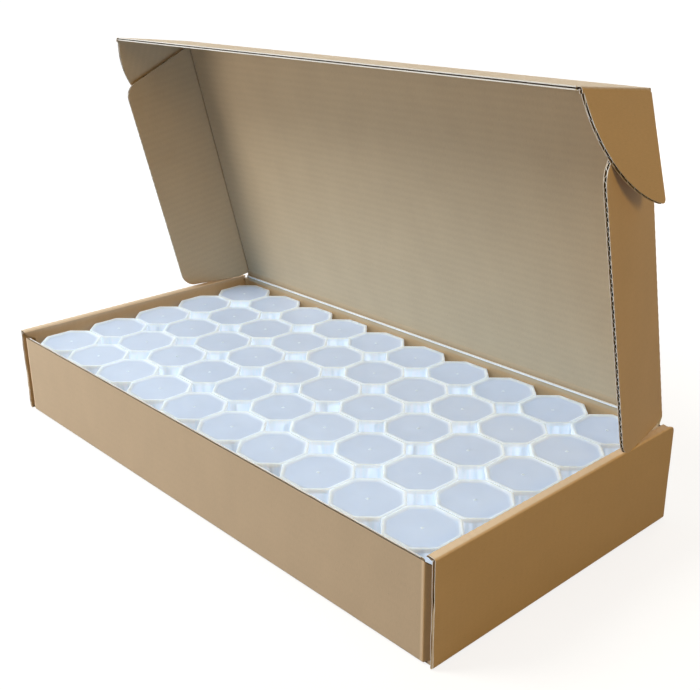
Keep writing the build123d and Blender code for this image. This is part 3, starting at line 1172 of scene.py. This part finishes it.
def crease_piece(name, path, spans, to_frame, columns, rippled):
    """A folded band of board, from a panel to its flap."""
    # Its folds take the default painted shade on the inner liner and on the rest
    board = folded_board(path.arrays(), spans, columns, to_frame, rippled, rippled, seed=len(name))
    made = board.build(name)
    return made


def flap_board(name, body, outline, sign, splay, root, up, inward):
    """A fluted flap on a panel's end, splayed outwards from square; its crease runs through root along up."""
    out = inward * math.cos(splay) + ALONG * (sign * math.sin(splay))
    normal = up.cross(out)
    if sign > 0:
        root = root - normal * BOARD
    made = flute_outline(outline, sign < 0, (root, up, out, normal), name)
    dress(made, body, body)


class CARTON_OT_lid(bpy.types.Operator):
    """Lid panel and the crease that joins it to the back wall"""

    bl_idname = "coin_carton.lid"
    bl_label = "Lid"

    rows = 40
    columns = 48
    # Crease at the hinge: its faces, out and up from the back wall's outer and inner top edges, and the painted
    # shade along it
    outer_line = ((0.1, -2.2), (0.75, -0.6), (1.65, 0.9), (2.0, 2.3))
    inner_line = ((0.0, -2.2), (0.15, -0.9), (1.1, 0.55), (1.25, 1.9))
    line_wear = (0.0, 0.14, 0.56, 0.7, 0.28, 0.0)
    crease_columns = 60
    crease_gap = 1.0
    crease_wave = 0.12
    # How far the crease reaches below the back wall's top and onto the lid, and how far it stands proud of
    # the wall
    wall_lap = 0.4
    lid_lap = 0.3
    proud = 0.02

    def execute(self, context):
        sizes = carton()
        end = flat_end(LID_OUTER, sizes.flap_splay, FLAP_OUTER)
        top = flat_end(LID_OUTER, TUCK_RAISE, LID_DEPTH)
        path = FoldPath((LID_START, LID_OUTER), (1, 0))
        path.run(top - LID_START, self.rows)
        spans = [(-end, end)] * len(path.points)

        def to_frame(flat, across):
            s, n = flat[..., 0], flat[..., 1]
            rise = np.sin(math.pi * (s - LID_START) / (top - LID_START))
            bow = sizes.lid_bow * rise * np.cos(0.5 * math.pi * across / end)
            return lid_point(across, s, n - bow)

        board = folded_board(path.arrays(), spans, self.columns, to_frame, False, False, seed=9)
        dress(board.build("lid"), "lid", "lid_panel")
        self.hinge_crease()
        return {"FINISHED"}

    def hinge_crease(self):
        """Scored band of board between the back wall and the lid."""
        foot = END_HEIGHT - CARTON_OT_long_walls.hinge_notch - self.wall_lap
        x = np.linspace(-FLAP_OUTER + self.crease_gap, FLAP_OUTER - self.crease_gap, self.crease_columns)
        grids, sheets = [], []
        for edge, start, line, depth in (
                (HALF_WIDTH, HALF_WIDTH + self.proud, self.outer_line, 0.0),
                (INNER_HALF, INNER_HALF - self.proud, self.inner_line, BOARD)):
            end = lid_point(0.0, LID_START + self.lid_lap, LID_OUTER + depth)
            line = [(edge + out, END_HEIGHT + up) for out, up in line]
            line = np.array([(start, foot)] + line + [(end[1], end[2])])
            fade = np.sin(np.linspace(0, math.pi, len(line)))[:, None]
            wave = self.crease_wave * wander(x, seed=3) * fade
            along = np.broadcast_to(x, wave.shape)
            up = np.broadcast_to(line[:, 1:], wave.shape)
            grids.append(np.stack([along, line[:, :1] + wave, up], axis=-1))
            sheets.append(np.stack([up, along, np.zeros(wave.shape)], axis=-1))
        # Painted shade darkens the middle rows of the crease
        mask = np.broadcast_to(np.array(self.line_wear)[:, None], wave.shape)
        board = BoardMesh()
        board.slab(grids[0], grids[1], sheets[0], sheets[1], mask, INSIDE)
        made = board.build("lid_crease")
        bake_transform(made)


class CARTON_OT_tuck(bpy.types.Operator):
    """Tuck flap along the lid's free edge, with its crease"""

    bl_idname = "coin_carton.tuck"
    bl_label = "Tuck flap"

    frayed: bpy.props.FloatProperty(
        name="Frayed liner", description="Thickness of the liners where the front edge has frayed",
        default=0.68 * MM, unit="LENGTH")

    # The crease's end gap and columns, the board's rows and columns, and its ragged front edge
    end_gap = 0.3
    crease_columns = 60
    rows = 24
    columns = 240
    front_strip = 6.0
    front_rows = 3
    rag_run = 8.0
    rag = 2.0
    end_groove = (0.1, 2.6)

    def execute(self, context):
        sizes = carton()
        path = crease_path(LID_OUTER, TUCK_RAISE, LID_DEPTH)
        spans = [(-FLAP_OUTER + self.end_gap, FLAP_OUTER - self.end_gap)] * len(path.points)

        def crease_frame(flat, across):
            return lid_point(across, flat[..., 0], flat[..., 1])

        crease = crease_piece("tuck_crease", path, spans, crease_frame, self.crease_columns, False)
        Vector(lid_point(0.0, LID_DEPTH - 1.2, -0.6)) * MM
        Vector(lid_point(0.0, LID_DEPTH - 0.8, 1.2)) * MM
        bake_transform(crease)

        crease_end = path.points[-1] - np.array([LID_DEPTH, 0.0])
        start = crease_end @ np.array([math.sin(TUCK_RAISE), math.cos(TUCK_RAISE)])
        end = flat_end(-BOARD, sizes.ear_splay, EAR_OUTER)
        flat_path = FoldPath((start - LAP, 0.0), (1, 0))
        flat_path.run(TUCK_DEPTH - start - self.front_strip, self.rows)
        flat_path.run(self.front_strip + LAP, self.front_rows)
        flat_spans = [(-end, end)] * len(flat_path.points)

        def to_frame(flat, across):
            s, n = flat[..., 0], flat[..., 1]
            strength = np.clip((s - TUCK_DEPTH + self.rag_run) / self.rag_run, 0, 1)
            stray = sizes.edge_wander * self.rag * strength * wander(across, seed=4, length=22.0)
            return tuck_point(across, s + stray, n)

        board = folded_board(flat_path.arrays(), flat_spans, self.columns, to_frame, False, False, seed=7,
                             end_groove=self.end_groove, liner=Millimetres(self.properties).frayed)
        dress(board.build("tuck_flap_board"), "tuck_flap", "tuck_flap")
        return {"FINISHED"}


class CARTON_OT_dust_flaps(bpy.types.Operator):
    """Dust flaps on the lid's ends, with their creases"""

    bl_idname = "coin_carton.dust_flaps"
    bl_label = "Dust flaps"

    rim_gap: bpy.props.FloatProperty(
        name="Rim gap", description="From the hinge to the flap's lower end", default=3.0 * MM, unit="LENGTH")
    crease_gap: bpy.props.FloatProperty(
        name="Crease gap", description="From the hinge to the crease's lower end",
        default=3.0 * MM, unit="LENGTH")
    top_gap: bpy.props.FloatProperty(
        name="Top gap", description="From the lid's free edge to the flap's upper end",
        default=4.3 * MM, unit="LENGTH")
    top_drop: bpy.props.FloatProperty(
        name="Top drop", description="How far the flap's upper edge slopes down",
        default=18.0 * MM, unit="LENGTH")
    depth: bpy.props.FloatProperty(
        name="Depth", description="From crease to free edge", default=64.55 * MM, unit="LENGTH")
    corner: bpy.props.FloatProperty(
        name="Corner", description="Radius of the free corners", default=13.0 * MM, unit="LENGTH")
    dip: bpy.props.FloatProperty(
        name="Dip", description="How far the lower edge sinks towards the rim",
        default=2.5 * MM, unit="LENGTH")
    dip_start: bpy.props.FloatProperty(
        name="Dip start", description="Where the lower edge has sunk, from the crease",
        default=11.0 * MM, unit="LENGTH")

    dip_radius = 3.0

    def execute(self, context):
        own = Millimetres(self.properties)
        splay = carton().flap_splay
        upper = LID_DEPTH - own.top_gap
        lean = math.atan2(-LID_UP.y, LID_UP.z)
        rise = own.depth * math.cos(splay) * math.tan(lean)
        outline = rounded(
            [(own.rim_gap, 0.0), (upper, 0.0), (upper - own.top_drop, own.depth),
             (own.rim_gap + rise - own.dip, own.depth),
             (own.rim_gap + rise * own.dip_start / own.depth - own.dip, own.dip_start)],
            [0, 0, own.corner, own.corner, self.dip_radius])
        path = tongue_path(LID_OUTER, splay, FLAP_OUTER)
        spans = [(own.crease_gap, upper)] * len(path.points)
        columns = flute_columns(upper - own.rim_gap)
        for side, sign in SIDES.items():
            def crease_frame(flat, across, sign=sign):
                return lid_point(sign * flat[..., 0], across, flat[..., 1])

            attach(crease_piece(f"dust_crease_{side}", path, spans, crease_frame, columns, True), "lid")
            root = HINGE + ALONG * (sign * FLAP_OUTER)
            flap_board(f"dust_flap_board_{side}", f"dust_flap_{side}", outline, sign, splay,
                       root, LID_UP, LID_IN)
        return {"FINISHED"}


class CARTON_OT_ears(bpy.types.Operator):
    """Ears on the tuck flap's ends, with their creases"""

    bl_idname = "coin_carton.ears"
    bl_label = "Ears"

    depth: bpy.props.FloatProperty(
        name="Depth", description="From crease to lowest point", default=61.0 * MM, unit="LENGTH")
    top_gap: bpy.props.FloatProperty(
        name="Top gap", description="From the lid's crease to the ear's straight edge",
        default=0.6 * MM, unit="LENGTH")
    corner: bpy.props.FloatProperty(
        name="Corner", description="Radius of the lowest corner", default=3.0 * MM, unit="LENGTH")

    # How far the crease ends inside the ear at the lid and at the front, and where the curved edge starts
    crease_start = 1.0
    crease_end = 0.4
    curve_start = 0.15
    curve_steps = 26

    def execute(self, context):
        splay = carton().ear_splay
        path = tongue_path(-BOARD, splay, EAR_OUTER)
        first = Millimetres(self.properties).top_gap + self.crease_start
        spans = [(first, TUCK_DEPTH - self.crease_end)] * len(path.points)
        columns = flute_columns(TUCK_DEPTH)
        outline = self.outline()
        for side, sign in SIDES.items():
            def crease_frame(flat, across, sign=sign):
                return tuck_point(sign * flat[..., 0], across, flat[..., 1] + BOARD)

            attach(crease_piece(f"ear_crease_{side}", path, spans, crease_frame, columns, True), "tuck_flap")
            root = TUCK_CREASE + TUCK_IN * BOARD + ALONG * (sign * EAR_OUTER)
            flap_board(f"ear_board_{side}", f"ear_{side}", outline, sign, splay,
                       root, TUCK_OUT, TUCK_IN)
        return {"FINISHED"}

    def outline(self):
        """The ear's outline: straight at the lid, curved from the tuck flap's front to its lowest point."""
        own = Millimetres(self.properties)
        first = np.array([TUCK_DEPTH, self.curve_start])
        last = np.array([own.top_gap, own.depth])
        bulge = np.full(2, carton().ear_bulge)
        sag = np.linalg.norm(bulge)
        half = np.linalg.norm(last - first) / 2
        radius = (half * half + sag * sag) / (2 * sag)
        centre = (first + last) / 2 + bulge - bulge / sag * radius
        start, end = (math.atan2(*(point - centre)[::-1]) for point in (first, last))
        corners = [(own.top_gap, 0.0)]
        arc = []
        for step in range(self.curve_steps + 1):
            angle = start + (end - start) * step / self.curve_steps
            arc.append(tuple(centre + radius * np.array([math.cos(angle), math.sin(angle)])))
        corners += [(arc[0][0], 0.0)] + arc
        return rounded(corners, [0.0] * (len(corners) - 1) + [own.corner])


# Tubes and caps

RING_STEPS = 4


def octagon_ring(half, corner, z):
    """A ring of points round a square with cut corners, with its corners rounded."""
    flat = (half + tubes().diagonal) * math.sqrt(2) - half
    quarter = [(half, flat), (flat, half)]
    right = [(x, -y) for x, y in reversed(quarter)] + quarter
    left = [(-x, y) for x, y in reversed(right)]
    ordered = sorted(right + left, key=lambda p: math.atan2(p[1], p[0]))
    ring = rounded(ordered, [corner] * len(ordered), RING_STEPS)
    return [(x, y, z) for x, y in ring]


def lathed(name, rings, thickness, glow, start_cap, end_cap):
    """A mesh that joins rings of the same count, each with two values; the caps are points that close it."""
    count = len(rings[0])
    points = [point for ring in rings for point in ring] + [start_cap, end_cap]
    base, tip = len(points) - 2, len(points) - 1
    last = (len(rings) - 1) * count
    around = [(j, (j + 1) % count) for j in range(count)]
    faces = []
    for row in range(0, last, count):
        faces += [(row + j, row + after, row + count + after, row + count + j) for j, after in around]
    for j, after in around:
        faces.append((base, after, j))
        faces.append((tip, last + j, last + after))
    mesh = bpy.data.meshes.new(name)
    mesh.from_pydata([tuple(c * MM for c in point) for point in points], [], faces)
    # thickness paints the plastic paler and glow sets its painted emitted light, both painted light
    for attribute, levels in (("thickness", thickness), ("glow", glow)):
        values = [value for value in levels for _ in range(count)] + [levels[0], levels[-1]]
        mesh.attributes.new(attribute, "FLOAT", "POINT").data.foreach_set("value", values)
    face_outwards(mesh)
    smooth(mesh, PLASTIC_SHARP)
    return mesh


def spots_of(node, count):
    """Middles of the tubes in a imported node, in metres, from the left."""
    first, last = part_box(node)
    y = (first.y + last.y) / 2
    if count == 1:
        return [((first.x + last.x) / 2, y, 0.0)]
    half = (last.y - first.y) / 2
    left, right = first.x + half, last.x - half
    return [(left + (right - left) * k / (count - 1), y, 0.0) for k in range(count)]


def groups_of(kind):
    """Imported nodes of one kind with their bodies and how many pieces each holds."""
    found = []
    for body, nodes in frame["record"]["behaviour"]["bodies"].items():
        for node in nodes:
            if node.startswith(kind):
                size = high(node) - low(node)
                found.append((node, body, max(1, round((size.x - size.y) / PITCH) + 1)))
    return found


def stand_in_rows(mould_mesh, kind, turn):
    """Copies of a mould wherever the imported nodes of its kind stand."""
    mould = place_object("mould", mould_mesh)
    plastic = plastic_material()
    for number, (node, body, count) in enumerate(groups_of(kind)):
        seeds = bpy.data.meshes.new(node)
        seeds.from_pydata(spots_of(node, count), [], [])
        values = {"Mould": mould, "Turn": turn, "Seed": number + 1, "Plastic": plastic}
        mesh = grown(seeds, field_tree(), values)
        mesh.name = f"{node}_moulded"
        made = place_object(f"{node}_moulded", mesh)
        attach(made, body)
        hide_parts(node)
    bpy.data.objects.remove(mould)


class CARTON_OT_tubes(bpy.types.Operator):
    """Open octagonal tubes"""

    bl_idname = "coin_carton.tubes"
    bl_label = "Tubes"

    # Chamfer of the foot, the mouth and the bore's floor
    edge = 0.35

    def execute(self, context):
        sizes = tubes()
        foot, top = low("tube_front_1").z, high("tube_front_1").z
        half = (high("tube_front_1").x - low("tube_front_1").x) / 2
        bore = half - sizes.wall
        floor = foot + sizes.floor
        # Half width, height and thickness of each ring, from the foot up outside and down inside; the thickness
        # paints the ring paler as painted light, and every ring takes the full painted glow
        rows = [
            (half - self.edge, foot, 0.9),
            (half, foot + self.edge, 0.9),
            (half, top - self.edge, 0.9),
            (half - self.edge, top, 1.0),
            (bore, top, 1.0),
            (bore, floor + self.edge, 0.9),
            (bore - self.edge, floor, 0.9),
        ]
        rings = [octagon_ring(width, sizes.corner, z) for width, z, _ in rows]
        thickness = [row[2] for row in rows]
        mesh = lathed("tube", rings, thickness, [1.0] * len(rings), (0, 0, foot), (0, 0, floor))
        stand_in_rows(mesh, "tube", 0.0)
        return {"FINISHED"}


class CARTON_OT_caps(bpy.types.Operator):
    """Caps with a raised rim, a sunk panel and a gate mark"""

    bl_idname = "coin_carton.caps"
    bl_label = "Caps"

    # Gate mark, and how far the panel sinks towards its middle
    nub_radius = 0.8
    nub_height = 0.3
    sink = 0.18

    def execute(self, context):
        sizes = tubes()
        foot, top = low("cap_front_1").z, high("cap_front_1").z
        half = (high("cap_front_1").x - low("cap_front_1").x) / 2
        skirt = half - sizes.overhang
        cavity = skirt - sizes.skirt_wall
        recess = half - sizes.rim_width
        slope = sizes.rim_slope
        flange = top - sizes.flange
        panel = top - sizes.rim_height
        sunk = panel - self.sink
        under = panel - sizes.panel
        # Half width, extra corner radius, height, thickness and glow of each ring, from the cavity's roof
        # down inside the skirt, up outside it, round the flange and over the rim onto the panel. The thickness
        # paints a ring paler and the glow gives it painted emitted light, both as painted light.
        rows = [
            (cavity, 0.0, under, 0.9, 1.0),
            (cavity, 0.0, foot + 0.3, 0.9, 1.0),
            (cavity + 0.25, 0.0, foot, 0.9, 1.0),
            (skirt - 0.2, 0.0, foot, 0.9, 1.0),
            (skirt, 0.0, foot + 0.25, 0.9, 1.0),
            (skirt, 0.0, flange - 0.15, 0.9, 1.0),
            (skirt + 0.15, 0.0, flange, 0.9, 1.0),
            (half - 0.2, 0.0, flange, 1.0, 0.8),
            (half, 0.0, flange + 0.25, 1.0, 0.7),
            (half, 0.0, top - 0.45, 1.0, 0.5),
            (half - 0.13, 0.0, top - 0.14, 1.0, 0.45),
            (half - 0.45, 0.0, top, 1.0, 0.45),
            (recess + 0.25, 0.4, top, 1.0, 0.45),
            (recess, 1.0, top - 0.12, 1.0, 0.45),
            (recess - slope * 0.45, 2.6, top - sizes.rim_height * 0.55, 0.8, 0.0),
            (recess - slope * 0.85, 4.8, panel + 0.1, 0.55, 0.0),
            (recess - slope, 5.6, panel + 0.02, 0.2, 0.0),
            (recess - slope - 1.5, 5.6, panel - 0.02, 0.0, 0.0),
            (recess * 0.55, 0.0, panel - self.sink * 0.8, 0.0, 0.0),
        ]
        # Half width, height and thickness of the nub's rings, which are copies of the panel's last ring; the
        # thickness paints them paler as painted light
        nub_rows = [
            (self.nub_radius + 0.5, sunk, 0.0),
            (self.nub_radius, sunk + 0.08, 1.0),
            (self.nub_radius * 0.7, panel + self.nub_height * 0.8, 1.0),
        ]
        rings = [octagon_ring(width, sizes.corner + extra, z) for width, extra, z, _, _ in rows]
        shape = rings[-1]
        width_of_shape = max(abs(x) for x, _, _ in shape)
        for width, z, _ in nub_rows:
            scale = width / width_of_shape
            rings.append([(x * scale, y * scale, z) for x, y, _ in shape])
        thickness = [row[3] for row in rows] + [row[2] for row in nub_rows]
        glow = [row[4] for row in rows] + [0.0] * len(nub_rows)
        mesh = lathed("cap", rings, thickness, glow, (0, 0, under), (0, 0, panel + self.nub_height))
        stand_in_rows(mesh, "cap", sizes.turn)
        return {"FINISHED"}


# Studio

class CARTON_OT_studio(bpy.types.Operator):
    """White floor, soft lamps, world and the camera"""

    bl_idname = "coin_carton.studio"
    bl_label = "Studio"

    # Name, place, aim, size, power and colour of each lamp, in metres and watts
    lamps = (
        ("Key", (-0.80, -1.00, 1.45), (0.0, -0.02, 0.07), 0.9, 26.5, (0.74, 0.87, 1.0)),
        ("Overhead", (0.00, 0.10, 1.80), (0.0, 0.05, 0.05), 1.2, 8.0, (0.76, 0.88, 1.0)),
        ("Front fill", (-1.10, -1.25, 0.30), (-0.05, -0.05, 0.12), 0.7, 10.0, (1.0, 0.99, 0.98)),
        ("Right fill", (1.50, 0.55, 0.25), (0.2, 0.0, 0.1), 0.5, 0.6, (1.0, 0.52, 0.02)),
        ("Warm fill", (1.45, -0.28, 0.68), (0.0, 0.0, 0.1), 0.5, 5.0, (1.0, 0.67, 0.17)),
        ("Back fill", (-0.25, 1.75, 0.35), (0.0, 0.15, 0.15), 0.8, 9.0, (1.0, 0.97, 0.93)),
    )
    white = (1.0, 1.0, 1.0, 1.0)
    # The world's own light, as a share of its white, and its tint
    ambient = 0.115
    ambient_tint = (1.0, 0.86, 0.54, 1.0)
    # Light from the caps: its height above them in millimetres, its power and its colour
    bounce_rise = 2.5
    bounce_power = 0.26
    bounce_colour = (0.08, 0.46, 1.0)
    # Half the floor's side, and how far it lies below the carton, in metres
    floor_half = 12.0
    floor_drop = 0.0004
    # How white the floor looks near the carton and further off, and the distances, in metres, between which
    # it changes
    floor_white = {"From Min": 0.3, "From Max": 0.9, "To Min": 0.82, "To Max": 0.985}
    # The camera: its place in metres, its direction and roll, its lens and centre in pixels, and the image
    camera_place = (0.54343, -0.45245, 0.36809)
    camera_look = (-0.68557, 0.63110, -0.36291)
    camera_roll = math.radians(-0.49)
    focal_pixels = 1018.7
    centre_pixels = (355.7, 344.1)
    image = (700, 690)

    def execute(self, context):
        self.floor()
        self.world()
        for name, place, aim, size, power, colour in self.lamps:
            lamp = self.lamp(name, place, power, colour)
            lamp.data.shape = "DISK"
            lamp.data.size = size
            lamp.rotation_euler = (Vector(aim) - Vector(place)).to_track_quat("-Z", "Y").to_euler()
        self.bounce()
        self.camera(context)
        context.scene.view_settings.view_transform = "Standard"
        return {"FINISHED"}

    def floor(self):
        """Wide pale floor that the camera sees nearly white, with the carton's shadow on it."""
        mesh = bpy.data.meshes.new("floor")
        half, z = self.floor_half, -self.floor_drop
        corners = [(-half, -half, z), (half, -half, z), (half, half, z), (-half, half, z)]
        mesh.from_pydata(corners, [], [(0, 1, 2, 3)])
        material, tree, shader = new_material("studio_floor")
        place = add_node(tree, "ShaderNodeTexCoord").outputs["Object"]
        distance = add_node(tree, "ShaderNodeVectorMath", {0: place}, operation="LENGTH").outputs["Value"]
        white = add_node(tree, "ShaderNodeMapRange", {"Value": distance, **self.floor_white}).outputs[0]
        feed(tree, shader, {
            "Base Color": (*finishes().studio, 1.0),
            "Roughness": 0.9,
            "Specular IOR Level": 0.1,
            "Emission Color": self.white,
            "Emission Strength": times(tree, seen_node(tree), white),
        })
        mesh.materials.append(material)
        place_object("floor", mesh)

    def world(self):
        """White world that lights the carton only a little."""
        world = bpy.data.worlds.new("studio")
        bpy.context.scene.world = world
        world.use_nodes = True
        tree = world.node_tree
        seen = seen_node(tree)
        feed(tree, tree.nodes["Background"], {
            "Strength": plus(tree, self.ambient, times(tree, seen, 1.0 - self.ambient)),
            "Color": mix_node(tree, seen, self.ambient_tint, self.white),
        })

    def lamp(self, name, place, power, colour):
        """A new area lamp."""
        data = bpy.data.lights.new(name, "AREA")
        data.energy = power
        data.color = colour
        made = place_object(name, data)
        made.location = place
        return made

    def bounce(self):
        """Sheet of blue light that the caps throw back onto the lid."""
        first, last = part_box("caps_back_row")
        place = (0.0, 0.0, last.z + self.bounce_rise * MM)
        lamp = self.lamp("Cap bounce", place, self.bounce_power, self.bounce_colour)
        lamp.data.shape = "RECTANGLE"
        lamp.data.size = last.x - first.x
        lamp.data.size_y = 2 * INNER_HALF * MM
        lamp.rotation_euler = (math.pi, 0.0, 0.0)
        lamp.visible_camera = False
        lamp.visible_glossy = False

    def camera(self, context):
        """Camera at the photograph's place, with its lens and framing."""
        data = bpy.data.cameras.new("camera")
        width, height = self.image
        data.sensor_fit = "HORIZONTAL"
        data.sensor_width = 36.0
        data.lens = self.focal_pixels / width * data.sensor_width
        data.shift_x = (width / 2 - self.centre_pixels[0]) / width
        data.shift_y = (self.centre_pixels[1] - height / 2) / width
        data.clip_start = 0.01
        data.clip_end = 60.0
        made = place_object("camera", data)
        turn = Vector(self.camera_look).to_track_quat("-Z", "Y").to_matrix().to_4x4()
        roll = Matrix.Rotation(self.camera_roll, 4, "Z")
        made.matrix_world = Matrix.Translation(self.camera_place) @ turn @ roll
        context.scene.camera = made


OPERATORS = (
    CARTON_OT_end_walls, CARTON_OT_long_walls, CARTON_OT_floor, CARTON_OT_lid, CARTON_OT_tuck,
    CARTON_OT_dust_flaps, CARTON_OT_ears, CARTON_OT_tubes, CARTON_OT_caps, CARTON_OT_studio,
)


class CARTON_PT_panel(bpy.types.Panel):
    """Lists the carton's pieces in the sidebar"""

    bl_idname = "CARTON_PT_panel"
    bl_label = "Boxed coin tubes"
    bl_space_type = "VIEW_3D"
    bl_region_type = "UI"
    bl_category = "Coin tubes"

    def draw(self, context):
        for operator in OPERATORS:
            self.layout.operator(operator.bl_idname, text=operator.bl_label)


GROUPS = {"coin_carton": CartonSizes, "coin_tubes": TubeSizes, "coin_finishes": Finishes}


def register():
    """Register the classes and give the scene its properties."""
    for group in GROUPS.values():
        bpy.utils.register_class(group)
    for operator in OPERATORS:
        bpy.utils.register_class(operator)
    bpy.utils.register_class(CARTON_PT_panel)
    for name, group in GROUPS.items():
        setattr(bpy.types.Scene, name, bpy.props.PointerProperty(type=group))


def unregister():
    """Undo what register did, in reverse."""
    for name in GROUPS:
        delattr(bpy.types.Scene, name)
    bpy.utils.unregister_class(CARTON_PT_panel)
    for operator in reversed(OPERATORS):
        bpy.utils.unregister_class(operator)
    for group in reversed(list(GROUPS.values())):
        bpy.utils.unregister_class(group)


def main():
    """Make the carton, the tubes and the studio."""
    register()
    bpy.ops.coin_carton.end_walls()
    bpy.ops.coin_carton.long_walls()
    bpy.ops.coin_carton.floor()
    bpy.ops.coin_carton.lid()
    bpy.ops.coin_carton.tuck()
    bpy.ops.coin_carton.dust_flaps()
    bpy.ops.coin_carton.ears()
    bpy.ops.coin_carton.tubes()
    bpy.ops.coin_carton.caps()
    bpy.ops.coin_carton.studio()


if __name__ == "__main__":
    main()
